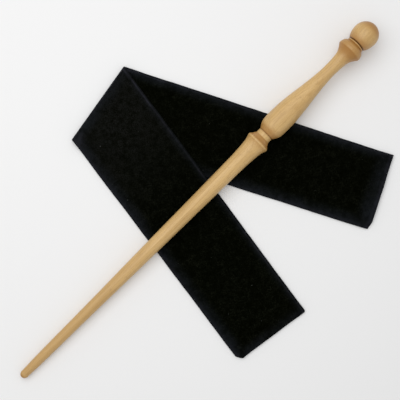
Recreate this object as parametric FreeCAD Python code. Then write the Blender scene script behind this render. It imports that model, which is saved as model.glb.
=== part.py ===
"""A turned wooden wand lying across its black velvet sleeve, in millimetres, +Z up.

The wand is three turned lengths glued on dowels: shaft, handle and ball pommel.
The sleeve is a flat velvet tube, open at its mouth and sewn shut at its other end.
It is folded once, so its upper arm lies across its lower arm at the crease.
The wand lies along +X with its tip on the table and its bead on the lower arm.
"""

import FreeCAD, Part
import math
import os

V = FreeCAD.Vector

# ---- wand, along its own axis from the tip -------------------------------------
WAND_LENGTH = 354.2
TIP_ROUND = 4.0            # length of the rounded tip
TIP_RADIUS = 3.05
TIP_SHOULDER = (0.24, 0.68)  # a point on the tip's rounding, as shares of those two
SHAFT_JOINT = 246.4        # where the shaft's neck meets the handle
POMMEL_JOINT = 335.6       # where the handle's cap meets the pommel
NECK_RADIUS = 5.7          # both lengths at the shaft joint
POMMEL_NECK_RADIUS = 5.4   # both lengths at the pommel joint
BEAD_AT = 238.1
BEAD_RADIUS = 8.8
BEAD_FRONT = (-1.0, -0.25)  # where its crest starts, ends, and runs down into the cove:
BEAD_BACK = (0.9, -0.25)    # along the axis and in radius, from the crest
COVE_MIDDLE = (3.2, -2.0)
NECK_RUN = 3.2             # straight length of the neck before the shaft joint
BALL_RADIUS = 9.5
BALL_MIDDLE = 344.4        # where it is widest
BALL_FRONT = 12.2          # half the length of the longer ellipse on the pommel joint's side
BALL_START = 0.25          # from the pommel joint, up the crease at the ball's foot
SHAFT_DOWEL = (2.5, 15.0)  # radius, and depth into each side of its joint
POMMEL_DOWEL = (2.0, 9.0)
TIP_REST = (6.0, 3.12)     # about where the tip touches the table: station, radius

# (station, radius) down the gentle taper of the shaft, and up the flare to its bead
SHAFT_TAPER = [(12.0, 3.3), (60.9, 3.93), (117.9, 4.87), (175.2, 5.6), (211.2, 6.15)]
SHAFT_FLARE = [(221.2, 6.4), (229.0, 6.93), (234.2, 7.65)]
# (station, radius) over the bulb, down to the waist and up to the collar
HANDLE_CURVE = [(248.0, 6.65), (250.2, 7.95), (254.4, 8.88), (259.7, 9.05), (267.2, 8.85),
                (276.8, 7.92), (288.1, 6.42), (299.2, 5.12), (310.1, 4.57), (317.7, 4.9),
                (323.2, 5.9), (326.6, 7.85)]
# arcs, each through three points: (station, radius)
COLLAR_RIM = [(328.2, 9.05), (329.2, 9.25), (330.6, 9.0)]
CAP = [(330.6, 9.0), (332.7, 8.05), (334.0, 6.2)]
POMMEL_RING = [(334.0, 6.2), (334.8, 6.6), (335.4, 6.1)]

# ---- velvet sleeve, in plan from the wand's tip --------------------------------
PANEL = 0.85               # one layer of velvet
INNER_GAP = 0.2            # between two layers
SLEEVE = 2 * PANEL + INNER_GAP
STACK = 2 * SLEEVE + INNER_GAP
CREASE_CENTRE = (177.5, 100.92)
LOWER_HEADING = -62.4      # degrees from +X, from the crease to the mouth
UPPER_HEADING = -98.1      # degrees from +X, from the crease to the closed end
LOWER_LENGTH = 213.9
UPPER_LENGTH = 209.5
FOLD_WIDTH = 61.6          # square across the sleeve, at the crease
LOWER_TRIM = 2.9           # how far short of the crease's end the lower arm's sewn edge meets it
MOUTH_WIDTH = 56.5
CLOSED_WIDTH = 59.8
EDGE_WRAP = 1.0            # width of the doubled long edge
SEAM_INSET = 1.5           # from a sewn edge to its thread
HEM_INSET = 9.0            # from the mouth to the hem's thread
THREAD = 0.6
DRAPE_START = 0.2          # the upper arm bends down just past the lower arm's edge
DRAPE_RUN = 4.6            # and is flat on the table after this much more
FLAP_Y = -12.5             # both free ends bend up along this line beside the wand
FLAP_GAP = 0.3
BEAD_CLEARANCE = 0.1
REACH = 400.0              # longer than anything here, for cutting tools


def heading(degrees):
    return V(math.cos(math.radians(degrees)), math.sin(math.radians(degrees)), 0)


# ---- wand ----------------------------------------------------------------------

def wand_tilt():
    """The angle that sets the bead just clear of the sleeve with the tip on the table."""
    run = BEAD_AT - TIP_REST[0]
    rise = BEAD_RADIUS - TIP_REST[1]
    lift = SLEEVE + BEAD_CLEARANCE
    return math.atan2(rise, run) + math.asin(lift / math.hypot(run, rise))


def lay_down(shapes):
    """Tilts shapes that stand on the wand's own axis, and raises them onto the table."""
    turn = FreeCAD.Rotation(V(0, 1, 0), -math.degrees(wand_tilt()))
    for shape in shapes:
        shape.Placement = FreeCAD.Placement(V(0, 0, 0), turn)
    lowest = min(shape.optimalBoundingBox(False).ZMin for shape in shapes)
    for shape in shapes:
        shape.translate(V(0, 0, -lowest))


def spline(points):
    curve = Part.BSplineCurve()
    curve.interpolate([V(x, 0, r) for x, r in points])
    return curve.toShape()


def arc(points):
    return Part.Arc(*[V(x, 0, r) for x, r in points]).toShape()


def line(start, end):
    return Part.LineSegment(V(start[0], 0, start[1]), V(end[0], 0, end[1])).toShape()


def turned(edges, first, last):
    """Turns an outline from station first to station last round the wand's axis."""
    outline = list(edges)
    outline.append(line((last[0], 0), (first[0], 0)))
    for station, radius in (first, last):
        if radius > 0:
            outline.append(line((station, 0), (station, radius)))
    face = Part.Face(Part.Wire(Part.__sortEdges__(outline)))
    return face.revolve(V(0, 0, 0), V(1, 0, 0), 360)


def rod(radius, start, end):
    return Part.makeCylinder(radius, end - start, V(start, 0, 0), V(1, 0, 0))


def dowel(joint, size):
    radius, depth = size
    return rod(radius, joint - depth, joint + depth)


def make_shaft():
    tip_end = (TIP_ROUND, TIP_RADIUS)
    tip = arc([(0, 0), (TIP_ROUND * TIP_SHOULDER[0], TIP_RADIUS * TIP_SHOULDER[1]), tip_end])
    bead_start = (BEAD_AT + BEAD_FRONT[0], BEAD_RADIUS + BEAD_FRONT[1])
    bead_end = (BEAD_AT + BEAD_BACK[0], BEAD_RADIUS + BEAD_BACK[1])
    body = spline([tip_end] + SHAFT_TAPER + SHAFT_FLARE + [bead_start])
    bead = arc([bead_start, (BEAD_AT, BEAD_RADIUS), bead_end])
    cove_end = (SHAFT_JOINT - NECK_RUN, NECK_RADIUS)
    cove = arc([bead_end, (BEAD_AT + COVE_MIDDLE[0], BEAD_RADIUS + COVE_MIDDLE[1]), cove_end])
    neck = line(cove_end, (SHAFT_JOINT, NECK_RADIUS))
    solid = turned([tip, body, bead, cove, neck], (0, 0), (SHAFT_JOINT, NECK_RADIUS))
    return solid.cut(dowel(SHAFT_JOINT, SHAFT_DOWEL))


def make_handle():
    first = (SHAFT_JOINT, NECK_RADIUS)
    last = (POMMEL_JOINT, POMMEL_NECK_RADIUS)
    body = spline([first] + HANDLE_CURVE + [COLLAR_RIM[0]])
    end = line(POMMEL_RING[-1], last)
    solid = turned([body, arc(COLLAR_RIM), arc(CAP), arc(POMMEL_RING), end], first, last)
    bores = dowel(SHAFT_JOINT, SHAFT_DOWEL).fuse(dowel(POMMEL_JOINT, POMMEL_DOWEL))
    return solid.cut(bores)


def ball_arc(tip, start, stop):
    """Part of the ball's outline, by angles from one of its tips to where it is widest."""
    ellipse = Part.Ellipse(V(tip, 0, 0), V(BALL_MIDDLE, 0, BALL_RADIUS), V(BALL_MIDDLE, 0, 0))
    return Part.ArcOfEllipse(ellipse, start, stop).toShape()


def make_pommel():
    station = POMMEL_JOINT + BALL_START
    angle = math.acos((BALL_MIDDLE - station) / BALL_FRONT)
    front = ball_arc(BALL_MIDDLE - BALL_FRONT, angle, math.pi / 2)
    end = ball_arc(WAND_LENGTH, 0, math.pi / 2)
    first = (POMMEL_JOINT, POMMEL_NECK_RADIUS)
    foot = line(first, (station, BALL_RADIUS * math.sin(angle)))
    solid = turned([foot, front, end], first, (WAND_LENGTH, 0))
    return solid.cut(dowel(POMMEL_JOINT, POMMEL_DOWEL))


def wand_nodes():
    nodes = {
        "shaft": make_shaft(),
        "shaft_dowel": dowel(SHAFT_JOINT, SHAFT_DOWEL),
        "handle": make_handle(),
        "pommel_dowel": dowel(POMMEL_JOINT, POMMEL_DOWEL),
        "ball_pommel": make_pommel(),
    }
    lay_down(nodes.values())
    return nodes


# ---- sleeve --------------------------------------------------------------------

def crease_heading():
    """The fold turns the lower arm's heading into the upper arm's."""
    return (LOWER_HEADING + UPPER_HEADING + 180) / 2


def arm_corners(arm_heading, length, end_width, trim=0.0):
    """Crease corner and end corner on the sewn edge, then end and crease on the doubled edge."""
    centre = V(*CREASE_CENTRE, 0)
    slant = math.radians(crease_heading() - arm_heading)
    half_crease = FOLD_WIDTH / 2 / math.sin(slant)
    along_crease = heading(crease_heading())
    end = centre + heading(arm_heading) * length
    across = heading(arm_heading + 90) * (end_width / 2)
    return [
        centre - along_crease * (half_crease - trim),
        end - across,
        end + across,
        centre + along_crease * half_crease,
    ]


def lower_corners():
    return arm_corners(LOWER_HEADING, LOWER_LENGTH, MOUTH_WIDTH, LOWER_TRIM)


def upper_corners():
    return arm_corners(UPPER_HEADING, UPPER_LENGTH, CLOSED_WIDTH)


def inset(corners, sewn=0.0, end=0.0, doubled=0.0, crease=0.0):
    """The four-sided outline with each of its sides moved inwards."""
    moves = [sewn, end, doubled, crease]
    sides = []
    for i, move in enumerate(moves):
        start = corners[i]
        along = (corners[(i + 1) % 4] - start).normalize()
        inwards = V(-along.y, along.x, 0)
        sides.append((start + inwards * move, along))
    points = []
    for i in range(4):
        (p, a), (q, b) = sides[i - 1], sides[i]
        step = ((q - p).x * b.y - (q - p).y * b.x) / (a.x * b.y - a.y * b.x)
        points.append(p + a * step)
    return points


def column(points):
    """A tall upright prism on a plan outline."""
    low = [V(p.x, p.y, -REACH / 4) for p in points]
    face = Part.Face(Part.makePolygon(low + low[:1]))
    return face.extrude(V(0, 0, REACH / 2))


def flat_slab(low, high):
    return Part.makeBox(2 * REACH, 2 * REACH, high - low, V(-REACH / 2, -REACH, low))


def drape_edges(offset):
    """The upper arm's S bend across the lower arm's sewn edge, offset from its underside."""
    drop = SLEEVE + INNER_GAP
    angle = 2 * math.atan(drop / DRAPE_RUN)
    radius = DRAPE_RUN / (2 * math.sin(angle))
    top = (DRAPE_START, drop - radius)
    bottom = (DRAPE_START + DRAPE_RUN, radius)
    outer = radius + offset
    inner = radius - offset

    def over(turn):
        return (top[0] + outer * math.sin(turn), top[1] + outer * math.cos(turn))

    def under(turn):
        return (bottom[0] - inner * math.sin(turn), bottom[1] - inner * math.cos(turn))

    far = REACH / 2
    return [
        line((-far, drop + offset), over(0)),
        arc([over(0), over(angle / 2), over(angle)]),
        arc([under(angle), under(angle / 2), under(0)]),
        line(under(0), (far, offset)),
    ]


def draped_slab(low, high):
    """A layer between two offsets that lies on the lower arm and steps down past its edge."""
    drop = SLEEVE + INNER_GAP
    far = REACH / 2
    edges = drape_edges(low) + drape_edges(high)
    edges.append(line((-far, drop + low), (-far, drop + high)))
    edges.append(line((far, low), (far, high)))
    face = Part.Face(Part.Wire(Part.__sortEdges__(edges)))
    slab = face.extrude(V(0, 2 * REACH, 0))
    start, end = lower_corners()[:2]
    along = (end - start).normalize()
    turn = FreeCAD.Rotation(V(0, 0, 1), math.degrees(math.atan2(along.x, -along.y)) - 180)
    slab.translate(V(0, -REACH, 0))
    slab.Placement = FreeCAD.Placement(start, turn).multiply(slab.Placement)
    return slab


def held_part(shape):
    """What the wand keeps down."""
    keep = Part.makeBox(2 * REACH, REACH, REACH, V(-REACH / 2, FLAP_Y, -REACH / 2))
    return shape.common(keep)


def free_part(shape):
    """What bends up beside the wand."""
    keep = Part.makeBox(2 * REACH, REACH, REACH, V(-REACH / 2, FLAP_Y - FLAP_GAP - REACH, -REACH / 2))
    return shape.common(keep)


def arm_layers(corners, slab):
    """One arm of the sleeve, whole: two panels, the doubled edge and the sewn edge's thread."""
    crease = STACK / 2
    whole = column(inset(corners, crease=crease))
    panel = column(inset(corners, doubled=EDGE_WRAP, crease=crease))
    seam_start = column(inset(corners, sewn=SEAM_INSET, end=SEAM_INSET, doubled=EDGE_WRAP, crease=crease))
    seam_end = column(inset(corners, sewn=SEAM_INSET + THREAD, crease=crease))
    return {
        "bottom_panel": slab(0, PANEL).common(panel),
        "top_panel": slab(PANEL + INNER_GAP, SLEEVE).common(panel),
        "fold_edge": slab(0, SLEEVE).common(whole).cut(panel),
        "side_seam": slab(PANEL, PANEL + INNER_GAP).common(seam_start.cut(seam_end)),
    }


def thread_across(corners, distance, low, high):
    """A line of stitches square across an arm, at a distance from its end."""
    side = {"sewn": SEAM_INSET + 2 * THREAD, "doubled": EDGE_WRAP + THREAD, "crease": STACK}
    near = column(inset(corners, end=distance, **side))
    far = column(inset(corners, end=distance + THREAD, **side))
    return flat_slab(low, high).common(near.cut(far))


def crease_wrap(inner, outer):
    """Half a tube round the crease, from one layer of the lower arm to one of the upper arm."""
    start, end = upper_corners()[0], upper_corners()[3]
    along = (end - start).normalize()
    inwards = V(along.y, -along.x, 0)
    base = start + inwards * (STACK / 2) + V(0, 0, STACK / 2)
    length = (end - start).Length
    tube = Part.makeCylinder(outer, length, base, along)
    tube = tube.cut(Part.makeCylinder(inner, length, base, along))
    half = Part.makeBox(length + 2, STACK, 2 * STACK, V(-1, 0, -STACK))
    turn = FreeCAD.Rotation(V(0, 0, 1), crease_heading())
    half.Placement = FreeCAD.Placement(base, turn).multiply(half.Placement)
    return tube.common(half)


def sleeve_nodes():
    lower = lower_corners()
    upper = upper_corners()
    nodes = {}
    for name, shape in arm_layers(lower, flat_slab).items():
        nodes["lower_" + name] = held_part(shape)
        nodes["mouth_" + name] = free_part(shape)
    for name, shape in arm_layers(upper, draped_slab).items():
        nodes["upper_" + name] = held_part(shape)
        nodes["closed_" + name] = free_part(shape)
    middle = PANEL + INNER_GAP / 2
    nodes["mouth_hem_bottom_thread"] = thread_across(lower, HEM_INSET, PANEL, middle)
    nodes["mouth_hem_top_thread"] = thread_across(lower, HEM_INSET, middle, PANEL + INNER_GAP)
    nodes["closed_end_seam"] = thread_across(upper, SEAM_INSET, PANEL, PANEL + INNER_GAP)
    nodes["crease_outer_wrap"] = crease_wrap(STACK / 2 - PANEL, STACK / 2)
    nodes["crease_inner_wrap"] = crease_wrap(INNER_GAP / 2, INNER_GAP / 2 + PANEL)
    return nodes


# ---- assembly ------------------------------------------------------------------

def base_centre(shapes):
    """The middle of the underside of everything, which becomes the origin."""
    box = Part.makeCompound(shapes).optimalBoundingBox(False)
    return V((box.XMin + box.XMax) / 2, (box.YMin + box.YMax) / 2, box.ZMin)


def main():
    nodes = {**sleeve_nodes(), **wand_nodes()}
    origin = base_centre(list(nodes.values()))
    os.makedirs("parts", exist_ok=True)
    for name, shape in nodes.items():
        solids = [solid.copy() for solid in shape.Solids]
        result = solids[0] if len(solids) == 1 else Part.makeCompound(solids)
        result.translate(origin * -1)
        result.exportStep(f"parts/{name}.step")
        print(f"{name:26} solids {len(solids)}  volume {result.Volume:9.2f}  valid {result.isValid()}")
    size = Part.makeCompound(list(nodes.values())).optimalBoundingBox(False)
    print(f"origin {origin.x:.3f} {origin.y:.3f} {origin.z:.3f}")
    print(f"size {size.XLength:.2f} {size.YLength:.2f} {size.ZLength:.2f}")
    print(f"flap line {FLAP_Y - origin.y:.3f}  tilt {math.degrees(wand_tilt()):.3f}")


main()
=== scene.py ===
"""The looks of a turned wooden wand that lies across its folded black velvet sleeve.

Everything is in metres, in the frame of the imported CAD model: the wand points along +X
from tip to pommel, and +Z is up from the table.  The wooden lengths are turned from
outlines read off the CAD nodes.  The sleeve is a flat velvet tube, open at its mouth,
sewn shut at its other end and folded once, and it is built as rows of closed loops.
"""

import math

import bmesh
import bpy
import numpy as np
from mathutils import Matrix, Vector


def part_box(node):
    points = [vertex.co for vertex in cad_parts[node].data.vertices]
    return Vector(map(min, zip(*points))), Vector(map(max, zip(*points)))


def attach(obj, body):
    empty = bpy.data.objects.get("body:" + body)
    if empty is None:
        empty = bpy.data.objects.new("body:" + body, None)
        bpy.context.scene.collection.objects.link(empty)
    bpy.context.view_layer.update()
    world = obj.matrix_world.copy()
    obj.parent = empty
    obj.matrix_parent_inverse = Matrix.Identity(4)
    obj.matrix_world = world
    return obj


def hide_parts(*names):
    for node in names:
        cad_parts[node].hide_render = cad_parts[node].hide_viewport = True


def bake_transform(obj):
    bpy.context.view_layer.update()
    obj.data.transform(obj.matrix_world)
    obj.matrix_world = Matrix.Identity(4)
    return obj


MM = 0.001
FULL_TURN = 2 * math.pi

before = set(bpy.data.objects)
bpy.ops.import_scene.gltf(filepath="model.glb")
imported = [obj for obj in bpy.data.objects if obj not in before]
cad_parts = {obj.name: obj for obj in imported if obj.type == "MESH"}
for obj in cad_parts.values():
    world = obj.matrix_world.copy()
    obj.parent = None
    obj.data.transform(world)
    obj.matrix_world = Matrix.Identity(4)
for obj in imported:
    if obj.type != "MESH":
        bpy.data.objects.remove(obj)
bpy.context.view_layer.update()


# ---- reading the frame ----

def vertices(node):
    """A CAD node's vertices, one row each."""
    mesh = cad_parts[node].data
    flat = np.empty(len(mesh.vertices) * 3)
    mesh.vertices.foreach_get("co", flat)
    return flat.reshape(-1, 3)


def centre(node):
    low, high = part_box(node)
    return np.array((low + high) / 2)


def corner(node, x, y):
    """The place in plan of a node's furthest vertex in the direction (x, y)."""
    points = vertices(node)
    return points[np.argmax(points[:, 0] * x + points[:, 1] * y)][:2]


def unit(vector):
    return vector / np.linalg.norm(vector)


# the two dowels lie on the wand's axis, so they give it
AXIS_POINT = centre("shaft_dowel")
AXIS = unit(centre("pommel_dowel") - AXIS_POINT)


def axial(points):
    """Each point's station along the wand's axis, and its distance from it."""
    offset = points - AXIS_POINT
    station = offset @ AXIS
    return station, np.linalg.norm(offset - np.outer(station, AXIS), axis=1)


# ---- small helpers ----

def smooth(value):
    """A soft step from 0 to 1."""
    t = np.clip(value, 0, 1)
    return t * t * (3 - 2 * t)


def fade(distance, reach):
    """1 at distance 0, falling softly to 0 at reach."""
    return 1 - smooth(distance / reach)


def soft_noise(x, y, size, seed):
    """Smooth noise from -1 to 1 over a plane, with bumps about size across."""
    table = np.random.RandomState(seed).uniform(-1, 1, (64, 64))
    u, v = np.asarray(x) / size, np.asarray(y) / size
    i, j = np.floor(u).astype(int), np.floor(v).astype(int)
    a, b = smooth(u - i), smooth(v - j)

    def knot(di, dj):
        return table[(i + di) % 64, (j + dj) % 64]

    low = knot(0, 0) * (1 - a) + knot(1, 0) * a
    high = knot(0, 1) * (1 - a) + knot(1, 1) * a
    return low * (1 - b) + high * b


def tube_faces(rows, columns):
    """Quads between rows of closed loops, each loop columns long."""
    faces = []
    for low in range(0, (rows - 1) * columns, columns):
        high = low + columns
        for c in range(columns):
            n = (c + 1) % columns
            faces.append((low + c, low + n, high + n, high + c))
    return faces


def new_piece(name, points, faces, material):
    """A smooth-shaded mesh object with its faces turned outwards."""
    mesh = bpy.data.meshes.new(name)
    mesh.from_pydata([tuple(p) for p in points], [], faces)
    mesh.materials.append(material)
    mesh.polygons.foreach_set("use_smooth", [True] * len(mesh.polygons))
    shape = bmesh.new()
    shape.from_mesh(mesh)
    bmesh.ops.recalc_face_normals(shape, faces=shape.faces)
    shape.to_mesh(mesh)
    shape.free()
    piece = bpy.data.objects.new(name, mesh)
    bpy.context.scene.collection.objects.link(piece)
    return piece


class Material:
    """Short calls for building one material's node tree."""

    def __init__(self, name):
        self.material = bpy.data.materials.new(name)
        self.material.use_nodes = True
        self.tree = self.material.node_tree
        self.shader = self.tree.nodes["Principled BSDF"]

    def put(self, socket, value):
        if isinstance(value, bpy.types.NodeSocket):
            self.tree.links.new(value, socket)
        else:
            socket.default_value = value

    def add(self, kind, inputs=(), **settings):
        node = self.tree.nodes.new(kind)
        for key, value in settings.items():
            setattr(node, key, value)
        for key, value in dict(inputs).items():
            self.put(node.inputs[key], value)
        return node

    def set(self, **values):
        """Sets or links inputs of the shader, with _ for a space in their names."""
        for key, value in values.items():
            self.put(self.shader.inputs[key.replace("_", " ")], value)

    def place(self):
        return self.add("ShaderNodeTexCoord").outputs["Object"]

    def attribute(self, name):
        return self.add("ShaderNodeAttribute", attribute_name=name).outputs["Fac"]

    def math(self, operation, a, b=0.0):
        return self.add("ShaderNodeMath", {0: a, 1: b}, operation=operation).outputs[0]

    def span(self, value, low, high, to_low=0.0, to_high=1.0):
        """A soft step that takes value from low..high to to_low..to_high."""
        inputs = {"Value": value, "From Min": low, "From Max": high, "To Min": to_low,
                  "To Max": to_high}
        node = self.add("ShaderNodeMapRange", inputs, interpolation_type="SMOOTHSTEP")
        return node.outputs["Result"]

    def mix(self, factor, a, b):
        node = self.add("ShaderNodeMix", data_type="RGBA")
        self.put(node.inputs[0], factor)
        self.put(node.inputs[6], a)
        self.put(node.inputs[7], b)
        return node.outputs[2]

    def stretch(self, place, scale):
        return self.add("ShaderNodeMapping", {"Vector": place, "Scale": scale}).outputs["Vector"]

    def noise(self, place, scale, detail=2.0, roughness=0.5, distortion=0.0):
        inputs = {"Vector": place, "Scale": scale, "Detail": detail, "Roughness": roughness,
                  "Distortion": distortion}
        return self.add("ShaderNodeTexNoise", inputs).outputs["Fac"]

    def grain(self, place, counts, detail=2.0, roughness=0.5):
        """Noise drawn out along X, with counts of its features in a metre along X, Y and Z."""
        return self.noise(self.stretch(place, counts), 1.0, detail, roughness)

    def tint(self, colour, other, value, low, high, most):
        """colour, mixed with up to a share of another one as value goes from low to high."""
        return self.mix(self.span(value, low, high, 0.0, most), colour, other)

    def bump(self, height, depth, strength, over=None):
        """Relief of a depth in metres, laid over another relief."""
        inputs = {"Height": height, "Distance": depth, "Strength": strength}
        if over is not None:
            inputs["Normal"] = over
        return self.add("ShaderNodeBump", inputs).outputs["Normal"]


# ---- the wand's wood ----

LIGHT_WOOD = (0.69, 0.455, 0.185, 1)
# the ring wood's colour below also paints the shade towards the tip
RING_WOOD_AND_TIP_SHADE = (0.52, 0.315, 0.11, 1)
PORE_WOOD = (0.33, 0.185, 0.07, 1)
END_GRAIN = (0.37, 0.165, 0.03, 1)
# painted shade for the creases at the glued joints
PAINTED_CREASE_SHADE = (0.14, 0.062, 0.020, 1)
PALE_DOWEL = (0.62, 0.46, 0.27, 1)
DARK_DOWEL = (0.46, 0.31, 0.16, 1)

# features in a metre, along the wand and both ways across it
RING_WANDER = (6, 90, 90)
PATCHES = (15, 60, 60)
STREAKS = (16, 1050, 1050)
FIBRES = (90, 3600, 3600)
PORES = (330, 5200, 5200)
DOWEL_STREAKS = (30, 1400, 1400)
LATHE_MARKS = 380.0           # scale of the wave texture
LATHE_UNEVEN = 1.5

PITH_Y = 21 * MM              # the tree's centre, beside and below the wand's axis
PITH_Z = -52 * MM
RING_STEP = 1.4 * MM
CREASE_SHADE_HALF_WIDTH = 0.9 * MM       # half the width of the painted shade line in the crease at each glued joint
COLLAR_BACK = 7.5 * MM        # from the pommel joint back to the collar, where the wood is darker
COLLAR_TONE = 11 * MM
TIP_SHADE_RUN = 130 * MM           # painted shade: the wood darkens over this much before the tip
POMMEL_JOINT = float((centre("pommel_dowel") - AXIS_POINT) @ AXIS)

FIBRE_DEPTH = 0.03 * MM
STREAK_DEPTH = 0.04 * MM
LATHE_DEPTH = 0.008 * MM
DOWEL_DEPTH = 0.05 * MM
DOWEL_ROUGHNESS = 0.7


def wood_place(m):
    """Coordinates from the shaft joint, with X along the wand's axis."""
    turn = {"Vector": m.place(), "Center": tuple(AXIS_POINT), "Angle": math.asin(AXIS[2])}
    turned = m.add("ShaderNodeVectorRotate", turn, rotation_type="Y_AXIS").outputs[0]
    shift = {0: turned, 1: tuple(AXIS_POINT)}
    return m.add("ShaderNodeVectorMath", shift, operation="SUBTRACT").outputs[0]


def growth_rings(m, place):
    """How much late wood there is, from the distance to the tree's centre."""
    split = m.add("ShaderNodeSeparateXYZ", {0: place})
    y = m.math("SUBTRACT", split.outputs["Y"], PITH_Y)
    z = m.math("SUBTRACT", split.outputs["Z"], PITH_Z)
    square = m.math("ADD", m.math("MULTIPLY", y, y), m.math("MULTIPLY", z, z))
    wander = m.math("MULTIPLY", m.grain(place, RING_WANDER, 3), 2 * RING_STEP)
    reach = m.math("ADD", m.math("SQRT", square), wander)
    phase = m.math("FRACT", m.math("DIVIDE", reach, RING_STEP))
    return m.math("MULTIPLY", m.span(phase, 0.3, 0.88), m.span(phase, 1.0, 0.9))


def grain_colour(m, place, streak, fibre):
    """Pale straight-grained wood with growth rings, patches, fibre and pores, and painted shade
    towards the tip.
    """
    pores = m.grain(place, PORES, 1)
    patches = m.grain(place, PATCHES)
    late = m.math("MULTIPLY", growth_rings(m, place), m.span(streak, 0.3, 0.7, 0.15, 0.6))
    colour = m.mix(late, LIGHT_WOOD, RING_WOOD_AND_TIP_SHADE)
    colour = m.tint(colour, RING_WOOD_AND_TIP_SHADE, streak, 0.45, 0.75, 0.6)
    colour = m.tint(colour, RING_WOOD_AND_TIP_SHADE, patches, 0.35, 0.7, 0.55)
    station = m.add("ShaderNodeSeparateXYZ", {0: place}).outputs["X"]
    tip = float(axial(vertices("shaft"))[0].min())
    # painted shade: the wood darker towards the tip
    colour = m.tint(colour, RING_WOOD_AND_TIP_SHADE, station, tip + TIP_SHADE_RUN, tip, 0.7)
    colour = m.tint(colour, PORE_WOOD, fibre, 0.4, 0.75, 0.3)
    return m.tint(colour, PORE_WOOD, pores, 0.62, 0.72, 0.6)


def turned_colour(m, place, colour):
    """colour, darker where the turning cuts across the grain and at the collar, with painted shade
    in the creases at the joints.
    """
    normal = m.add("ShaderNodeNewGeometry").outputs["Normal"]
    across = m.add("ShaderNodeVectorMath", {0: normal, 1: tuple(AXIS)}, operation="DOT_PRODUCT")
    steep = m.math("ABSOLUTE", across.outputs["Value"])
    colour = m.tint(colour, END_GRAIN, steep, 0.06, 0.75, 0.85)
    station = m.add("ShaderNodeSeparateXYZ", {0: place}).outputs["X"]
    dark_rings = (
        (POMMEL_JOINT - COLLAR_BACK, COLLAR_TONE, END_GRAIN, 0.6),
        # painted shade in the creases at the two glued joints
        (0.0, CREASE_SHADE_HALF_WIDTH, PAINTED_CREASE_SHADE, 0.4),
        (POMMEL_JOINT, CREASE_SHADE_HALF_WIDTH, PAINTED_CREASE_SHADE, 0.85),
    )
    for middle, reach, dark, most in dark_rings:
        away = m.math("ABSOLUTE", m.math("SUBTRACT", station, middle))
        colour = m.tint(colour, dark, away, reach, 0.0, most)
    return colour


def wood_material():
    """The wand's waxed wood."""
    m = Material("turned wood")
    place = wood_place(m)
    streak = m.grain(place, STREAKS, 4, 0.6)
    fibre = m.grain(place, FIBRES)
    colour = turned_colour(m, place, grain_colour(m, place, streak, fibre))
    marks = {"Vector": place, "Scale": LATHE_MARKS, "Distortion": LATHE_UNEVEN}
    lathe = m.add("ShaderNodeTexWave", marks).outputs["Fac"]
    relief = m.bump(fibre, FIBRE_DEPTH, 0.5)
    relief = m.bump(streak, STREAK_DEPTH, 0.4, relief)
    relief = m.bump(lathe, LATHE_DEPTH, 0.3, relief)
    m.set(Base_Color=colour, Roughness=m.span(streak, 0.3, 0.75, 0.36, 0.48), Normal=relief)
    m.set(Specular_IOR_Level=0.5)
    return m.material


def dowel_material():
    """Bare hardwood dowel rod."""
    m = Material("dowel wood")
    streak = m.grain(m.place(), DOWEL_STREAKS, 3)
    colour = m.mix(streak, PALE_DOWEL, DARK_DOWEL)
    m.set(Base_Color=colour, Roughness=DOWEL_ROUGHNESS, Normal=m.bump(streak, DOWEL_DEPTH, 0.5))
    return m.material


# ---- the wand's shape ----

SEGMENTS = 96
SCAN_STEP = 0.05 * MM
RING_SPACING = 1.5 * MM       # where the outline is straight
RING_BEND = 0.06              # how far, in radians, the outline turns from ring to ring
JOINT_EASE = 0.15 * MM        # the glued edges are rounded off by this much
BORE_WALL = 0.3 * MM          # what is further out than this is not the dowel's hole
RING_MERGE = 0.1 * MM         # CAD vertices nearer than this along the axis are one ring


class Hole:
    """A dowel's hole in the lengths on both sides of its joint."""

    def __init__(self, dowel):
        station, radius = axial(vertices(dowel))
        self.start = station.min()
        self.stop = station.max()
        self.joint = (self.start + self.stop) / 2
        self.radius = radius.max()


def slopes(x, y):
    """Slopes for a cubic through points that neither overshoots nor ripples."""
    step = np.diff(x)
    rise = np.diff(y) / step
    same_way = rise[1:] * rise[:-1] > 0
    before = (2 * step[1:] + step[:-1]) / np.where(same_way, rise[:-1], 1)
    after = (step[1:] + 2 * step[:-1]) / np.where(same_way, rise[1:], 1)
    weight = 3 * (step[1:] + step[:-1])
    inner = np.where(same_way, weight / np.where(same_way, before + after, 1), 0)
    return np.concatenate([[rise[0]], inner, [rise[-1]]])


def through(x, y, at):
    """Values at some places of a smooth cubic through points."""
    slope = slopes(x, y)
    i = np.clip(np.searchsorted(x, at) - 1, 0, len(x) - 2)
    run = x[i + 1] - x[i]
    t = (at - x[i]) / run
    ease = t * t * (3 - 2 * t)
    leave = run * slope[i] * t * (1 - t) ** 2
    arrive = run * slope[i + 1] * t * t * (1 - t)
    return y[i] * (1 - ease) + y[i + 1] * ease + leave - arrive


def outline(node, holes):
    """The outside of a turned CAD node: stations along the axis, and radii."""
    station, radius = axial(vertices(node))
    outside = np.full(len(station), True)
    for hole in holes:
        near = (station > hole.start - RING_MERGE) & (station < hole.stop + RING_MERGE)
        outside &= ~near | (radius > hole.radius + BORE_WALL)
    rings = {}
    for s, r in zip(station[outside], radius[outside]):
        key = round(s / RING_MERGE)
        if key not in rings or r > rings[key][1]:
            rings[key] = (s, r)
    known = np.array([rings[key] for key in sorted(rings)])
    scan = np.arange(known[0, 0], known[-1, 0], SCAN_STEP)
    scan[-1] = known[-1, 0]
    shape = np.maximum(through(known[:, 0], known[:, 1], scan), 0)
    bend = np.abs(np.gradient(np.arctan(np.gradient(shape, scan)), scan))
    wanted = np.cumsum((1 / RING_SPACING + bend / RING_BEND) * SCAN_STEP)
    places = np.linspace(wanted[0], wanted[-1], int(wanted[-1]) + 2)
    stations = np.interp(places, wanted, scan)
    return stations, np.interp(stations, scan, shape)


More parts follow.
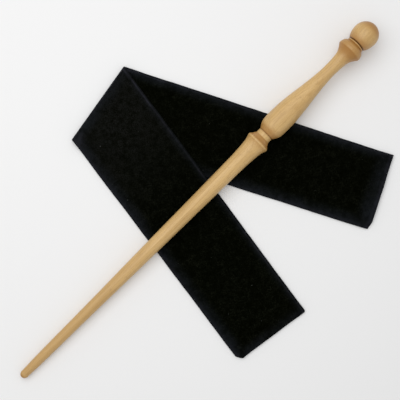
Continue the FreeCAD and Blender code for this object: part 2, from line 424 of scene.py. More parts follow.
def bored_start(stations, radii, hole):
    """The outline begun on the axis, at the bottom of a dowel's hole."""
    inside = [(hole.stop, 0), (hole.stop, hole.radius), (hole.joint, hole.radius)]
    edge = [(hole.joint, radii[0] - JOINT_EASE), (hole.joint + JOINT_EASE, radii[0])]
    rest = [(s, r) for s, r in zip(stations, radii) if s > hole.joint + 2 * JOINT_EASE]
    return inside + edge + rest


def lathe(name, profile, material):
    """Turns a profile that starts and ends on the axis, as (station, radius) points."""
    side = unit(np.cross(AXIS, (0, 1, 0)))
    other = np.cross(AXIS, side)
    angle = np.arange(SEGMENTS) / SEGMENTS * FULL_TURN
    ring = np.outer(np.cos(angle), side) + np.outer(np.sin(angle), other)
    points = [AXIS_POINT + AXIS * profile[0][0]]
    for station, radius in profile[1:-1]:
        points.extend(AXIS_POINT + AXIS * station + ring * radius)
    points.append(AXIS_POINT + AXIS * profile[-1][0])
    rings = len(profile) - 2
    faces = [tuple(1 + i for i in face) for face in tube_faces(rings, SEGMENTS)]
    last_ring = 1 + (rings - 1) * SEGMENTS
    for c in range(SEGMENTS):
        n = (c + 1) % SEGMENTS
        faces.append((0, 1 + n, 1 + c))
        faces.append((len(points) - 1, last_ring + c, last_ring + n))
    return new_piece(name, points, faces, material)


SHAFT_HOLE = Hole("shaft_dowel")
POMMEL_HOLE = Hole("pommel_dowel")
OUTLINES = {
    "shaft": outline("shaft", [SHAFT_HOLE]),
    "handle": outline("handle", [SHAFT_HOLE, POMMEL_HOLE]),
    "ball_pommel": outline("ball_pommel", [POMMEL_HOLE]),
}


def wand_profile(node, before, after):
    """A wooden length's whole profile, with the holes of the dowels before and after it."""
    stations, radii = OUTLINES[node]
    profile = [(stations[0], 0)] + list(zip(stations[1:], radii[1:]))
    if before:
        profile = bored_start(stations, radii, before)
    if not after:
        return profile[:-1] + [(stations[-1], 0)]
    while profile[-1][0] > after.joint - 2 * JOINT_EASE:
        profile.pop()
    rim = radii[-1]
    edge = [(after.joint - JOINT_EASE, rim), (after.joint, rim - JOINT_EASE)]
    inside = [(after.joint, after.radius), (after.start, after.radius), (after.start, 0)]
    return profile + edge + inside


def make_wand():
    wood = wood_material()
    lengths = [("shaft", None, SHAFT_HOLE), ("handle", SHAFT_HOLE, POMMEL_HOLE),
               ("ball_pommel", POMMEL_HOLE, None)]
    for node, before, after in lengths:
        piece = lathe("turned_" + node, wand_profile(node, before, after), wood)
        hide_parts(node)
        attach(piece, "wand")
    dowel = dowel_material()
    for node in ("shaft_dowel", "pommel_dowel"):
        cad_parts[node].data.materials[0] = dowel


# ---- velvet and thread ----

STANDING_PILE = (0.0008, 0.0011, 0.0001, 1)
BRUSHED_PILE = (0.0088, 0.0098, 0.0060, 1)
WORN_PILE = (0.0092, 0.0096, 0.0088, 1)
# painted sheen of the pile that leans over at the edges
LEANING_PILE_SHEEN = (0.0125, 0.0145, 0.0180, 1)
# painted highlight along the rounded edges, the mouth and the crease
PAINTED_EDGE_HIGHLIGHT = (0.0250, 0.0250, 0.0330, 1)
LINT = (0.060, 0.063, 0.058, 1)
SHEEN = (0.8, 0.88, 1.0, 1)
DARK_THREAD = (0.001, 0.001, 0.001, 1)
PALE_THREAD = (0.004, 0.004, 0.005, 1)

# features in a metre
CLOUDS = 75
BLOTCHES = 260
TUFTS = 1500
STROKES = ((190, 0.5), (230, 2.0))   # and their direction in radians
STROKE_SHAPE = 3.2            # how many times narrower than long
STROKE_CURL = 2.2
LINT_CELLS = 150.0
LINT_CHOSEN = 0.955           # the share of cells with no speck in them
LINT_SIZE = (0.015, 0.03)     # least radius, and the most added to it, in cells
STROKE_DEPTH = 0.2 * MM
TUFT_DEPTH = 0.12 * MM
TWIST = 700.0                 # scale of the thread's wave texture
TWIST_DEPTH = 0.05 * MM


def lint_specks(m, place):
    """A speck in one cell of many, on the plan, so each is small and round."""
    inputs = {"Vector": place, "Scale": LINT_CELLS}
    cells = m.add("ShaderNodeTexVoronoi", inputs, voronoi_dimensions="2D")
    pick = m.add("ShaderNodeSeparateColor", {0: cells.outputs["Color"]})
    chosen = m.math("GREATER_THAN", pick.outputs["Red"], LINT_CHOSEN)
    size = m.math("MULTIPLY", pick.outputs["Green"], LINT_SIZE[1])
    near = m.math("LESS_THAN", cells.outputs["Distance"], m.math("ADD", size, LINT_SIZE[0]))
    return m.math("MULTIPLY", chosen, near)


def pile_strokes(m, place, scale, turn):
    """Short curved strokes where the pile has been brushed aside, along one direction."""
    turned = m.add("ShaderNodeVectorRotate", {"Vector": place, "Angle": turn}).outputs[0]
    narrow = m.stretch(turned, (scale, STROKE_SHAPE * scale, scale))
    return m.span(m.noise(narrow, 1.0, 2, 0.6, STROKE_CURL), 0.46, 0.66)


def velvet_colour(m, place, strokes, tufts):
    """The pile's colour, from its noise and from what each point's attributes say, painted sheen
    and highlights included.
    """
    cloud = m.noise(place, CLOUDS, 4, 0.65)
    blotch = m.noise(place, BLOTCHES, 3, 0.6)
    brushed = m.math("MULTIPLY", strokes, m.span(blotch, 0.35, 0.65, 0.15, 0.75))
    colour = m.mix(brushed, STANDING_PILE, BRUSHED_PILE)
    worn = m.math("MULTIPLY", m.attribute("worn"), m.span(blotch, 0.25, 0.7, 0.35, 1.3))
    colour = m.mix(worn, colour, WORN_PILE)
    colour = m.tint(colour, STANDING_PILE, tufts, 0.38, 0.62, 0.8)
    # painted sheen where the pile leans over along the edges
    leaning_sheen = m.math("MULTIPLY", m.attribute("leaning_sheen"), m.span(cloud, 0.3, 0.7, 0.45, 1.05))
    leaning_sheen = m.math("MULTIPLY", leaning_sheen, m.span(blotch, 0.25, 0.65, 0.6, 1.0))
    leaning_sheen = m.math("MULTIPLY", leaning_sheen, m.span(tufts, 0.38, 0.62, 1.0, 0.6))
    colour = m.mix(leaning_sheen, colour, LEANING_PILE_SHEEN)
    # painted highlight along the rounded edges, the mouth and the crease
    edge_highlight = m.math("MULTIPLY", m.attribute("edge_highlight"), m.span(blotch, 0.25, 0.6, 0.45, 1.0))
    colour = m.mix(edge_highlight, colour, PAINTED_EDGE_HIGHLIGHT)
    return m.mix(lint_specks(m, place), colour, LINT)


def velvet_material():
    """Black cotton velvet: blackest where its pile stands, with painted bluish sheen where the
    pile leans over and painted highlights along its rounded edges.
    """
    m = Material("black velvet")
    place = m.place()
    tufts = m.noise(place, TUFTS, 3, 0.7)
    strokes = m.math("MAXIMUM", *[pile_strokes(m, place, *kind) for kind in STROKES])
    relief = m.bump(strokes, STROKE_DEPTH, 0.4)
    relief = m.bump(tufts, TUFT_DEPTH, 0.6, relief)
    m.set(Base_Color=velvet_colour(m, place, strokes, tufts), Normal=relief)
    m.set(Roughness=0.95, Specular_IOR_Level=0.0)
    m.set(Sheen_Weight=0.02, Sheen_Roughness=0.35, Sheen_Tint=SHEEN)
    return m.material


def thread_material():
    """Twisted black sewing thread."""
    m = Material("sewing thread")
    inputs = {"Vector": m.place(), "Scale": TWIST}
    twist = m.add("ShaderNodeTexWave", inputs, bands_direction="DIAGONAL").outputs["Fac"]
    colour = m.mix(twist, DARK_THREAD, PALE_THREAD)
    m.set(Base_Color=colour, Roughness=0.9, Normal=m.bump(twist, TWIST_DEPTH, 0.6))
    m.set(Specular_IOR_Level=0.1)
    return m.material


# ---- the sleeve's outline ----

HALF = 0.9 * MM               # half the flat sleeve's thickness
LAYER = 0.78 * MM             # one layer of velvet
CAVITY = HALF - LAYER         # half the gap between the layers
EDGE = 1.3 * MM               # how far in from an edge its rounding reaches
CREASE_RADIUS = 1.35 * MM     # of the sleeve's middle round the crease
CREASE_SWING = 2.5            # how early in the turn the sewn edge reaches the upper arm's
CREASE_EDGE = 0.5             # how much of the edges' rounding is left there
CREASE_EDGE_RUN = 10 * MM     # and from here on all of it
ROW_STEP = 1.6 * MM
COLUMN_STEP = 1.3 * MM
ROUND_STEPS = 6
ARC_STEPS = 12
MOUTH_CLIP = (6.0 * MM, 2.2 * MM)    # along the end from the sewn edge, and along that edge
CLOSED_CLIP = (3.2 * MM, 4.2 * MM)
CLOSED_ROUND = 1.6 * MM       # radius of the closed end's doubled corner
CLIP_FADE = 16 * MM           # the cut-back end is evened out over this much of the arm
THINNEST = 0.06               # of the closed end's last row, as a share of the full thickness


def meet(p, q, a, b):
    """Where the line p to q crosses the line a to b, in plan."""
    along, other = q - p, b - a
    turn = along[0] * other[1] - along[1] * other[0]
    reach = ((a[0] - p[0]) * other[1] - (a[1] - p[1]) * other[0]) / turn
    return p + along * reach


CREASE_DOUBLED = corner("crease_outer_wrap", 1, 0.5)
CREASE_SEWN = corner("crease_outer_wrap", -1, 0.2)
ALONG_CREASE = unit(CREASE_DOUBLED - CREASE_SEWN)
PAST_CREASE = np.array([-ALONG_CREASE[1], ALONG_CREASE[0]])


class Arm:
    """One arm of the folded sleeve in plan, from where its crease starts to its end."""

    def __init__(self, body, start, sewn_end, doubled_end):
        self.body = body
        self.sewn = (self.off_crease(start, sewn_end), sewn_end)
        self.doubled = (self.off_crease(CREASE_DOUBLED, doubled_end), doubled_end)
        run = (self.sewn[1] + self.doubled[1] - self.sewn[0] - self.doubled[0]) / 2
        self.heading = unit(run)
        self.length = float(np.linalg.norm(run))

    def off_crease(self, start, end):
        """start, moved along its edge to where the cloth has come round the crease."""
        inwards = float((end - start) @ -PAST_CREASE)
        return start + (end - start) * (CREASE_RADIUS + HALF) / inwards

    def edges_at(self, part):
        """The sewn and the doubled edge's places at a part of the arm's length."""
        sewn = self.sewn[0] + (self.sewn[1] - self.sewn[0]) * part
        doubled = self.doubled[0] + (self.doubled[1] - self.doubled[0]) * part
        return sewn, doubled


MOUTH_SEWN = corner("mouth_bottom_panel", -0.4, -1.35)
CLOSED_SEWN = corner("closed_bottom_panel", -1.13, -0.85)
LOWER_START = meet(corner("lower_bottom_panel", -1, 0.4), MOUTH_SEWN, CREASE_SEWN, CREASE_DOUBLED)
LOWER = Arm("mouth_end", LOWER_START, MOUTH_SEWN, corner("mouth_fold_edge", 1.35, -0.42))
UPPER = Arm("closed_end", CREASE_SEWN, CLOSED_SEWN, corner("closed_fold_edge", 0.85, -1.13))


def left_of(x, y, edge):
    """How far places in plan lie to the left of an edge, as seen from its start."""
    along = unit(edge[1] - edge[0])
    return (y - edge[0][1]) * along[0] - (x - edge[0][0]) * along[1]


# ---- the sleeve's rows ----

class Row:
    """One line across the sleeve: where it is, and what the cloth does there.

    turn is how far round the crease it is, 0 on the lower arm and pi on the upper arm.
    """

    def __init__(self, arm, sewn, doubled, turn, from_crease, to_end, rounding=1.0):
        self.arm = arm
        self.sewn = sewn
        self.doubled = doubled
        self.turn = turn
        self.from_crease = from_crease
        self.to_end = to_end
        self.rounding = rounding


def arm_row(arm, distance, rounding=1.0):
    turn = 0.0 if arm is LOWER else math.pi
    sewn, doubled = arm.edges_at(distance / arm.length)
    return Row(arm, sewn, doubled, turn, distance, arm.length - distance, rounding)


def lower_rows(start):
    """Rows of the lower arm from a distance past the crease to its open mouth."""
    count = int(round((LOWER.length - start) / ROW_STEP))
    return [arm_row(LOWER, d) for d in np.linspace(start, LOWER.length, count + 1)]


def upper_rows():
    """Rows of the upper arm from the crease to its closed end, which is rounded off."""
    flat = UPPER.length - EDGE
    count = int(round(flat / ROW_STEP))
    rows = [arm_row(UPPER, d) for d in np.linspace(0, flat, count + 1)]
    for angle in np.linspace(math.pi / 2, 0, ROUND_STEPS + 1)[1:]:
        thin = max(math.sin(angle), THINNEST)
        rows.append(arm_row(UPPER, flat + EDGE * math.cos(angle), thin))
    return rows


def crease_rows():
    """Rows round the crease, between the two arms, whose sewn edges start apart."""
    rows = []
    for part in np.linspace(0, 1, ARC_STEPS + 1)[1:-1]:
        swing = 1 - (1 - part) ** CREASE_SWING
        sewn = LOWER.sewn[0] * (1 - swing) + UPPER.sewn[0] * swing
        doubled = LOWER.doubled[0] * (1 - part) + UPPER.doubled[0] * part
        rows.append(Row(None, sewn, doubled, math.pi * part, 0.0, LOWER.length))
    return rows


def column_places():
    """Each column's share of the flat width, its angle round an edge, and that edge's side."""
    angles = np.linspace(0, math.pi / 2, ROUND_STEPS + 1)[:-1]
    width = np.linalg.norm(UPPER.doubled[0] - UPPER.sewn[0])
    flat = np.linspace(0, 1, int(round(width / COLUMN_STEP)) + 1)
    share = np.concatenate([angles * 0, flat, angles * 0 + 1])
    angle = np.concatenate([angles, flat * 0 + math.pi / 2, angles[::-1]])
    side = np.concatenate([angles * 0 - 1, flat * 0, angles * 0 + 1])
    return share, angle, side


COLUMNS = column_places()


# ---- the sleeve's relief ----

PILLOW = 0.32 * MM            # how much fuller the middle is than the edges
PILLOW_RUN = 14 * MM
SEAM_BAND = 8.0 * MM          # the folded-in allowance along a sewn edge
SEAM_RISE = 0.34 * MM
DOUBLED_BAND = 5.0 * MM       # the fuller strip along the doubled edge
DOUBLED_RISE = 0.18 * MM
BAND_START = 2 * MM           # how softly a band starts at the edge
BAND_STOP = 3 * MM            # and how softly it stops
HEM = 10.0 * MM
HEM_RISE = 0.42 * MM
HEM_STOP = 2 * MM
END_RISE = 0.30 * MM
PUCKER = 0.09 * MM            # ripples along the seam
PUCKER_STEP = 7.5 * MM
PUCKER_REACH = 9 * MM
COVERED_SHARE = 0.4           # what the lower arm's relief loses where the upper arm lies on it
COVERED_RUN = 3 * MM
RELIEF_START = 8 * MM         # the relief grows over this much from the crease
# kinds of unevenness: height, size of the bumps, seed
PUCKER_DRIFT = (3, 13 * MM, 3)       # in radians of the ripples' phase
SWELLS = (0.15 * MM, 27 * MM, 5)
SWELL_START = 5 * MM
DIMPLES = (0.05 * MM, 8 * MM, 6)
CUT_WAVES = (0.2 * MM, 11 * MM, 21)
# height and size of the long and the short waves in an edge
STRAY = (0.22 * MM, 21 * MM)
TREMBLE = (0.09 * MM, 4.5 * MM)
STRAY_START = 14 * MM
SEWN_SEED = 11
DOUBLED_SEED = 17
SAG_START = -0.5 * MM         # the upper arm sinks to the table outside the lower arm's edge
SAG_RUN = 7.0 * MM
SAG_FREE = 14 * MM            # and less than that near the crease, which stays round
GAPE = 0.6 * MM               # how far the mouth's layers part
GAPE_WIDTH = 20 * MM          # from an edge to where they part fully
GAPE_DEPTH = 24 * MM          # and from the mouth to where they don't part
TOP_BACK = 0.45 * MM          # how much shorter the mouth's top layer is than its bottom one
SEAM_BACK = (0.9 * MM, 9 * MM)       # and how much more, near the seam
UNDER_SHARE = 0.5             # the hollow's roof rises this much of what the top does
PRESS_GAP = 0.05 * MM         # between the wand and the velvet that it presses down
PRESS_SHARES = (0.42, 0.5, 1.0)      # of the room there: the hollow's floor and roof, and the top
PRESS_SHOULDER = 0.12 * MM


def bumps(x, y, kind):
    """Unevenness of one kind, as (height, size, seed)."""
    height, size, seed = kind
    return height * soft_noise(x, y, size, seed)


def ridge(distance, band, rise):
    """A low plateau from an edge to a band's width, with soft flanks."""
    return rise * fade(distance - band + BAND_STOP, BAND_STOP) * smooth(distance / BAND_START)


def cloth_relief(skin):
    """How much an arm's top stands above a plain flat sleeve."""
    row = skin.row
    x, y = skin.plan(skin.from_sewn).T
    middle = np.minimum(skin.from_sewn, skin.from_doubled)
    rise = PILLOW * smooth(middle / PILLOW_RUN)
    rise = rise + ridge(skin.from_sewn, SEAM_BAND, SEAM_RISE)
    rise = rise + ridge(skin.from_doubled, DOUBLED_BAND, DOUBLED_RISE)
    phase = row.from_crease / PUCKER_STEP * FULL_TURN + bumps(x, y, PUCKER_DRIFT)
    rise = rise + PUCKER * np.sin(phase) * fade(skin.from_sewn, PUCKER_REACH)
    if row.arm is LOWER:
        covered = smooth(-left_of(x, y, UPPER.doubled) / COVERED_RUN)
        hem = HEM_RISE * fade(row.to_end - HEM + HEM_STOP, HEM_STOP)
        rise = rise * (1 - COVERED_SHARE * covered) + hem
    else:
        rise = rise + END_RISE * fade(row.to_end - SEAM_BAND + BAND_STOP, BAND_STOP)
    rise = rise + bumps(x, y, SWELLS) * smooth(middle / SWELL_START)
    rise = rise + bumps(x, y, DIMPLES)
    return rise * smooth(row.from_crease / RELIEF_START) * row.rounding


def edge_wander(row, seed):
    """How far an edge strays outwards from its straight line."""
    slow = bumps(row.from_crease, seed * MM, STRAY + (seed,))
    quick = bumps(row.from_crease, seed * MM, TREMBLE + (seed + 1,))
    return (slow + quick) * smooth(row.from_crease / STRAY_START)


def sag(row, x, y):
    """How far the upper arm has come down beside the lower arm."""
    if row.arm is not UPPER:
        return 0 * x
    outside = -left_of(x, y, LOWER.sewn)
    free = smooth(row.from_crease / SAG_FREE)
    return 2 * CREASE_RADIUS * smooth((outside - SAG_START) / SAG_RUN) * free


def mouth_gape(skin):
    """How far the mouth's top layer stands off its bottom layer."""
    belly = smooth(np.minimum(skin.from_sewn, skin.from_doubled) / GAPE_WIDTH)
    return GAPE * belly * fade(skin.row.to_end, GAPE_DEPTH) * (skin.row.arm is LOWER)


def cut_back(skin, from_sewn, top):
    """How far the end is cut back: a clipped sewn corner, and layers that don't quite meet."""
    row = skin.row
    clip = MOUTH_CLIP if row.arm is LOWER else CLOSED_CLIP
    back = clip[1] * np.clip(1 - from_sewn / clip[0], 0, 1) + bumps(from_sewn, 0, CUT_WAVES)
    if row.arm is LOWER and top:
        back = back + TOP_BACK + SEAM_BACK[0] * fade(from_sewn, SEAM_BACK[1])
    if row.arm is UPPER:
        near = np.clip(1 - skin.from_doubled / CLOSED_ROUND, 0, 1)
        back = back + CLOSED_ROUND * (1 - np.sqrt(1 - near ** 2))
    return back * fade(row.to_end, CLIP_FADE)


class Skin:
    """Four lines of points across one row, in order from the crease's outside to its inside."""

    def __init__(self, row):
        self.row = row
        self.set_out()
        self.lay_lines()
        self.press()

    def set_out(self):
        """Spaces the columns across the row, closest round its two edges."""
        share, angle, side = COLUMNS
        row = self.row
        self.along = unit(row.doubled - row.sewn)
        self.origin = row.sewn - self.along * edge_wander(row, SEWN_SEED)
        doubled = row.doubled + self.along * edge_wander(row, DOUBLED_SEED)
        self.width = np.linalg.norm(doubled - self.origin)
        full = smooth(row.from_crease / CREASE_EDGE_RUN)
        edge = EDGE * (CREASE_EDGE + (1 - CREASE_EDGE) * full)
        inset = edge * (1 - np.cos(angle))
        flat = edge + (self.width - 2 * edge) * share
        beyond = np.where(side > 0, self.width - inset, flat)
        self.from_sewn = np.where(side < 0, inset, beyond)
        self.from_doubled = self.width - self.from_sewn
        self.fullness = np.sin(angle) * row.rounding

    def lay_lines(self):
        """Lays the cloth's outer lines and the hollow's, with the relief on the arm's top."""
        upper = self.row.arm is UPPER
        gape = mouth_gape(self)
        rise = cloth_relief(self)
        raised = (rise + gape, UNDER_SHARE * rise + gape)
        plain = (0 * rise, 0 * rise)
        outside, inside = (raised, plain) if upper else (plain, raised)
        inner = np.clip(self.from_sewn, LAYER, self.width - LAYER)
        half = HALF * self.fullness
        hollow = CAVITY * self.fullness
        self.outside = self.line(self.from_sewn, half, outside[0], upper)
        self.hollow_outside = self.line(inner, hollow, outside[1], upper)
        self.hollow_inside = self.line(inner, -hollow, inside[1], not upper)
        self.inside = self.line(self.from_sewn, -half, inside[0], not upper)

    def plan(self, from_sewn):
        return self.origin + np.outer(from_sewn, self.along)

    def line(self, from_sewn, out, rise, top):
        """Points out from the sleeve's middle, away from the crease's own axis."""
        row = self.row
        place = self.plan(from_sewn)
        reach = CREASE_RADIUS + out
        z = CREASE_RADIUS + HALF - math.cos(row.turn) * reach + rise
        z = z - sag(row, place[:, 0], place[:, 1])
        place = place + np.outer(math.sin(row.turn) * reach, PAST_CREASE)
        if row.arm:
            back = cut_back(self, from_sewn, top)
            place = place - np.outer(back, row.arm.heading)
        return np.column_stack([place, z])

    def press(self):
        """Pushes the upper lines down under the wand, and keeps their order."""
        stack = [self.outside, self.hollow_outside, self.hollow_inside, self.inside]
        if self.row.arm is UPPER:
            stack.reverse()
        base = stack[0][:, 2]
        for line, share in zip(stack[1:], PRESS_SHARES):
            room = wand_underside(line[:, 0], line[:, 1]) - PRESS_GAP - base
            line[:, 2] = soft_cap(line[:, 2], base + room * share)

    def outer_loop(self):
        return closed_loop(self.outside, self.inside)

    def hollow_loop(self):
        return closed_loop(self.hollow_outside, self.hollow_inside)


def closed_loop(first, second):
    """One loop of points from two lines that run the same way and meet at both ends."""
    return np.vstack([first, second[-2:0:-1]])


def wand_underside(x, y):
    """Height of the wand's underside over places in plan, and a metre where it isn't."""
    station = (x - AXIS_POINT[0]) / AXIS[0]
    stations = np.concatenate([OUTLINES[node][0] for node in OUTLINES])
    radii = np.concatenate([OUTLINES[node][1] for node in OUTLINES])
    radius = np.interp(station, stations, radii, left=0, right=0)
    off = np.abs(y - AXIS_POINT[1])
    drop = np.sqrt(np.maximum(radius ** 2 - off ** 2, 0)) / AXIS[0]
    return np.where(off < radius, AXIS_POINT[2] + station * AXIS[2] - drop, 1.0)


def soft_cap(z, limit):
    """z kept under a limit, with a rounded shoulder."""
    return z - PRESS_SHOULDER * np.logaddexp(0, (z - limit) / PRESS_SHOULDER)


# ---- what the pile does, with its painted sheen and highlights ----

# how much painted sheen the leaning pile shows at an edge, and how far in
SEWN_LEAN_SHEEN = (0.95, 11 * MM)
LOWER_DOUBLED_LEAN_SHEEN = (0.9, 9 * MM)
UPPER_DOUBLED_LEAN_SHEEN = (0.6, 7 * MM)
CREASE_LEAN_SHEEN = (0.8, 8 * MM)
MOUTH_LEAN_SHEEN = (0.85, 12 * MM)
MOUTH_FLAT = 3 * MM           # the first stretch from the mouth, which shows the painted sheen all over
CLOSED_LEAN_SHEEN = (0.75, 9 * MM)
# how worn the pile is: everywhere, and more on the upper arm near the crease
WORN = 0.06
CREASE_WORN = 0.75
WORN_START = 12 * MM
WORN_RUN = 85 * MM
# narrow painted highlight lines where the rounded cloth catches light: how much, how far in they
# lie, and half their width
DOUBLED_LINE = (0.4, 1.6 * MM, 1.0 * MM)
SEWN_LINE = (0.25, 1.2 * MM, 2.2 * MM)
MOUTH_LINE = (0.4, 0.8 * MM, 2.5 * MM)
CREASE_LINE = (0.7, 0.72 * math.pi, 0.2 * math.pi)   # in radians round the crease
APEX_HIGHLIGHT = 0.5             # how much brighter the doubled edge's painted highlight is at the crease
APEX_RUN = 60 * MM
UNEVEN = (0.5, 9 * MM, 23)
# a painted highlight near the sewn corner at the crease
CORNER_HIGHLIGHT = (0.45, 6 * MM)
CORNER_PLACE = (5 * MM, 3 * MM)      # from the sewn edge, and from the crease


def from_edge(distance, kind):
    """A value that fades away from an edge, of a kind as (most, reach)."""
    most, reach = kind
    return most * fade(distance, reach)


def narrow_line(distance, kind):
    """A narrow soft line of a kind as (most, place, half its width)."""
    most, place, reach = kind
    return most * fade(np.abs(distance - place), reach)


def leaning_sheen(skin):
    """Painted sheen where the pile leans over, which is most along every edge."""
    row = skin.row
    value = from_edge(skin.from_sewn, SEWN_LEAN_SHEEN)
    doubled_lean_sheen = LOWER_DOUBLED_LEAN_SHEEN if row.arm is LOWER else UPPER_DOUBLED_LEAN_SHEEN
    value = np.maximum(value, from_edge(skin.from_doubled, doubled_lean_sheen))
    value = np.maximum(value, from_edge(row.from_crease, CREASE_LEAN_SHEEN))
    if row.arm is LOWER:
        return np.maximum(value, from_edge(row.to_end - MOUTH_FLAT, MOUTH_LEAN_SHEEN))
    return np.maximum(value, from_edge(row.to_end, CLOSED_LEAN_SHEEN))


def worn(skin):
    """How worn the pile is, which is most on the upper arm near the crease."""
    row = skin.row
    extra = 0.0 if row.arm is LOWER else CREASE_WORN * fade(row.from_crease - WORN_START, WORN_RUN)
    return np.full(len(skin.from_sewn), WORN + extra)


def edge_highlight(skin):
    """The painted highlight along the edges, the mouth and the crease, where the rounded cloth
    catches light.
    """
    row = skin.row
    most, place, reach = DOUBLED_LINE
    near_apex = most + APEX_HIGHLIGHT * fade(row.from_crease, APEX_RUN)
    uneven = 1 + bumps(row.from_crease, 0, UNEVEN)
    value = near_apex * uneven * fade(np.abs(skin.from_doubled - place), reach)
    value = value + narrow_line(skin.from_sewn, SEWN_LINE)
    if row.arm is LOWER:
        return value + narrow_line(row.to_end, MOUTH_LINE)
    value = value + narrow_line(row.turn, CREASE_LINE)
    corner_place = np.hypot(skin.from_sewn - CORNER_PLACE[0], row.from_crease - CORNER_PLACE[1])
    return value + from_edge(corner_place, CORNER_HIGHLIGHT)


PILE = {"leaning_sheen": leaning_sheen, "worn": worn, "edge_highlight": edge_highlight}


# ---- the sleeve's meshes ----

TUCK = 5.0 * MM               # the lower arm's first stretch, made with the upper arm
TUCK_ROWS = 4
LIP_STEPS = 5
LIP_BULGE = 0.9               # of half the cloth's thickness


def lip(outer, hollow, heading):
    """Loops that round the cloth's cut end from the hollow's loop to the outer one."""
    middle = (outer + hollow) / 2
    half = (outer - hollow) / 2
    bulge = np.linalg.norm(half, axis=1) * LIP_BULGE
    loops = []
    for angle in np.linspace(math.pi, 0, LIP_STEPS + 2)[1:-1]:
        push = np.outer(bulge * math.sin(angle), np.append(heading, 0))
        loops.append(middle + half * math.cos(angle) + push)
    return loops


def end_cap(first, count, columns):
    """Faces that close the flat loop which starts at point first."""
    faces = []
    for c in range(columns - 1):
        quad = (c, c + 1, count - c - 1, (count - c) % count)
        faces.append(tuple(first + i for i in dict.fromkeys(quad)))
    return faces


def velvet_loops(skins, open_mouth):
    """All loops of an arm's closed skin in order, and for each the Skin that it shows, or None."""
    outer = [skin.outer_loop() for skin in skins]
    if open_mouth:
        hollow = [skin.hollow_loop() for skin in skins]
        rims = lip(outer[-1], hollow[-1], skins[-1].row.arm.heading)
        loops = outer + rims[::-1] + hollow[::-1]
        return loops, skins + [skins[-1]] * len(rims) + [None] * len(hollow)
    hollow = [skin.hollow_loop() for skin in skins if skin.row.to_end > EDGE]
    return hollow[::-1] + outer, [None] * len(hollow) + skins


def closing_faces(loops, columns, open_mouth):
    """Faces that join the last loop to the first, or that cap both."""
    count = len(loops[0])
    last = (len(loops) - 1) * count
    if not open_mouth:
        return end_cap(0, count, columns) + end_cap(last, count, columns)
    following = [(c + 1) % count for c in range(count)]
    return [(last + c, last + n, n, c) for c, n in enumerate(following)]


def around_loop(across):
    """Values across a row, put on the points of its loop."""
    return closed_loop(across[:, None], across[:, None])[:, 0]


def write_pile(piece, shown, count):
    """Stores what the pile does at each point, its painted sheen and highlight included, for the
    velvet's material.
    """
    for key, pile in PILE.items():
        values = [around_loop(pile(skin)) if skin else np.zeros(count) for skin in shown]
        attribute = piece.data.attributes.new(key, "FLOAT", "POINT")
        attribute.data.foreach_set("value", np.concatenate(values).astype(np.float32))


def sleeve_piece(name, skins, material, open_mouth):
    """A closed skin of velvet with the sleeve's hollow inside, from its split to its end."""
    loops, shown = velvet_loops(skins, open_mouth)
    count = len(loops[0])
    faces = tube_faces(len(loops), count) + closing_faces(loops, len(COLUMNS[0]), open_mouth)
    piece = new_piece(name, np.vstack(loops), faces, material)
    write_pile(piece, shown, count)
    return piece


# ---- stitches ----

THREAD = 0.36 * MM
STITCH = 2.3 * MM
STITCH_STEP = 3.0 * MM
STITCH_SIDES = 6
STITCH_PARTS = (-1.0, -0.82, -0.4, 0.4, 0.82, 1.0)   # of half its length, from its middle
STITCH_ROUND = 1.05           # just over 1, so that its ends aren't points
SEAM_INSET = 2 * MM           # from a sewn edge to its stitches
HEM_INSET = 9 * MM            # from the mouth to the hem's stitches
HEM_SINK = 0.3 * MM           # how deep their ends dive into the cloth
CROSS_SEWN = 3 * MM           # stitches across an arm stop this far from its sewn edge
CROSS_DOUBLED = 2 * MM        # and from its doubled edge


def along_line(points, step):
    """Points and directions at even steps along a polyline."""
    run = np.concatenate([[0], np.cumsum(np.linalg.norm(np.diff(points, axis=0), axis=1))])
    stops = np.arange(step / 2, run[-1], step)
    places = np.column_stack([np.interp(stops, run, points[:, i]) for i in range(3)])
    ahead = np.column_stack([np.interp(stops + step / 4, run, points[:, i]) for i in range(3)])
    return [(place, unit(way - place + 1e-9)) for place, way in zip(places, ahead)]


def stitch(place, way, sink):
    """Points and faces of one stitch: a short length of thread whose ends dive into the cloth."""
    side = unit(np.cross(way, (0, 0, 1)))
    up = np.cross(side, way)
    angle = np.arange(STITCH_SIDES) / STITCH_SIDES * FULL_TURN
    ring = np.outer(np.cos(angle), side) + np.outer(np.sin(angle), up)
    points = []
    for part in STITCH_PARTS:
        thick = THREAD / 2 * math.sqrt(STITCH_ROUND - part ** 2)
        middle = place + way * part * STITCH / 2 - up * sink * part ** 4
        points.append(middle + ring * thick)
    ends = (len(points) - 1) * STITCH_SIDES
    faces = tube_faces(len(points), STITCH_SIDES)
    faces.append(tuple(range(STITCH_SIDES))[::-1])
    faces.append(tuple(range(ends, ends + STITCH_SIDES)))
    return np.vstack(points), faces


def stitches(name, lines, material):
    """One piece of thread: rows of stitches along lines of points."""
    points, faces, used = [], [], 0
    for line, sink in lines:
        for place, way in along_line(line, STITCH_STEP):
            new_points, new_faces = stitch(place, way, sink)
            faces += [tuple(used + i for i in face) for face in new_faces]
            points.append(new_points)
            used += len(new_points)
    return new_piece(name, np.vstack(points), faces, material)


def seam_line(skins):
    """A line between the layers, beside the sewn edge."""
    line = []
    for skin in skins:
        if skin.row.to_end > 2 * SEAM_INSET and skin.row.arm:
            column = np.argmin(np.abs(skin.from_sewn - SEAM_INSET))
            line.append((skin.hollow_outside[column] + skin.hollow_inside[column]) / 2)
    return np.array(line)


def cross_line(skins, distance, layer):
    """A line across an arm at a distance from its end, on one of its layers."""
    skin = min(skins, key=lambda skin: abs(skin.row.to_end - distance))
    keep = (skin.from_sewn > CROSS_SEWN) & (skin.from_doubled > CROSS_DOUBLED)
    return getattr(skin, layer)[keep]


# ---- the sleeve ----


def bend_up(piece):
    """Bakes a velvet piece's placing into its mesh, as it lies."""
    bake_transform(piece)


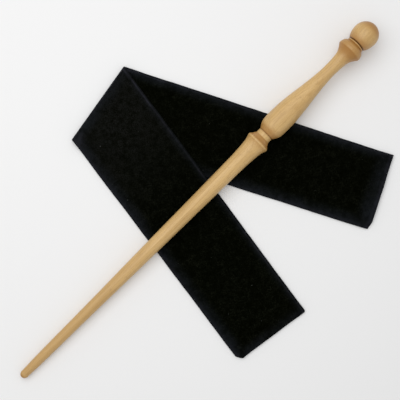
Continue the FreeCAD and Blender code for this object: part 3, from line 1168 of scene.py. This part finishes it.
def hand_over(cloth, threads, prefixes):
    """Puts an arm's velvet and thread in the place of its CAD nodes, which it hides, with their
    placing baked into their meshes.
    """
    nodes = [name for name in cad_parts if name.startswith(prefixes)]
    sewn = [name for name in nodes if name.endswith(("seam", "thread"))]
    bend_up(cloth)
    bend_up(threads)
    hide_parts(*[name for name in nodes if name not in sewn])
    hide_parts(*sewn)


def make_sleeve():
    velvet = velvet_material()
    thread = thread_material()
    tuck = [Skin(arm_row(LOWER, d)) for d in np.linspace(TUCK, 0, TUCK_ROWS)]
    lower = [Skin(row) for row in lower_rows(TUCK)]
    upper = [Skin(row) for row in crease_rows() + upper_rows()]
    lower_piece = sleeve_piece("velvet_lower_arm", lower, velvet, open_mouth=True)
    upper_piece = sleeve_piece("velvet_upper_arm", tuck + upper, velvet, open_mouth=False)
    lower_thread = stitches("stitches_lower_arm", [
        (seam_line(lower), 0.0),
        (cross_line(lower, HEM_INSET, "inside"), HEM_SINK),
        (cross_line(lower, HEM_INSET, "outside"), -HEM_SINK),
    ], thread)
    upper_thread = stitches("stitches_upper_arm", [
        (seam_line(upper), 0.0),
        (cross_line(upper, SEAM_INSET, "hollow_inside"), 0.0),
    ], thread)
    hand_over(lower_piece, lower_thread, ("lower_", "mouth_"))
    hand_over(upper_piece, upper_thread, ("upper_", "closed_", "crease_"))


# ---- floor, light and camera ----

TABLE_HALF = 3.0
TABLE_Z = -0.05 * MM          # just under the plane that the set lies on
TABLE_COLOUR = (0.885, 0.885, 0.885, 1)
ROOM_COLOUR = (1.0, 1.0, 1.0, 1)
ROOM_LIGHT = 0.56
WINDOW_SIZE = (0.90, 0.80)
WINDOW_POWER = 3.5
WINDOW_PLACE = (0.02, 0.26, 0.70)
CAMERA_PLACE = (3.25 * MM, 1.86 * MM, 0.58)
CAMERA_TURN = -44.86          # degrees, so that the wand runs up to the right
LENS = 72.4                   # in millimetres, as the sensor's width is
SENSOR = 36.0


def make_floor():
    """A plain white table top."""
    mesh = bpy.data.meshes.new("table")
    h = TABLE_HALF
    corners = [(x, y, TABLE_Z) for x, y in ((-h, -h), (h, -h), (h, h), (-h, h))]
    mesh.from_pydata(corners, [], [(0, 1, 2, 3)])
    table = bpy.data.objects.new("table", mesh)
    bpy.context.scene.collection.objects.link(table)
    m = Material("white table")
    m.set(Base_Color=TABLE_COLOUR, Roughness=0.6, Specular_IOR_Level=0.2)
    mesh.materials.append(m.material)


def make_light():
    """Even light from a white room, and a broad soft window that faces the table's middle."""
    world = bpy.data.worlds.new("soft room")
    bpy.context.scene.world = world
    world.use_nodes = True
    background = world.node_tree.nodes["Background"]
    background.inputs["Color"].default_value = ROOM_COLOUR
    background.inputs["Strength"].default_value = ROOM_LIGHT
    lamp = bpy.data.lights.new("window", "AREA")
    lamp.shape = "RECTANGLE"
    lamp.size, lamp.size_y = WINDOW_SIZE
    lamp.energy = WINDOW_POWER
    window = bpy.data.objects.new("window", lamp)
    window.location = WINDOW_PLACE
    window.rotation_euler = (-math.atan2(WINDOW_PLACE[1], WINDOW_PLACE[2]), 0, 0)
    bpy.context.scene.collection.objects.link(window)


def make_camera():
    """Straight above the sleeve."""
    data = bpy.data.cameras.new("camera")
    data.lens = LENS
    data.sensor_width = SENSOR
    camera = bpy.data.objects.new("camera", data)
    camera.location = CAMERA_PLACE
    camera.rotation_euler = (0, 0, math.radians(CAMERA_TURN))
    bpy.context.scene.collection.objects.link(camera)
    bpy.context.scene.camera = camera


make_camera()
make_floor()
make_light()
make_wand()
make_sleeve()
bpy.context.scene.view_settings.view_transform = "Standard"
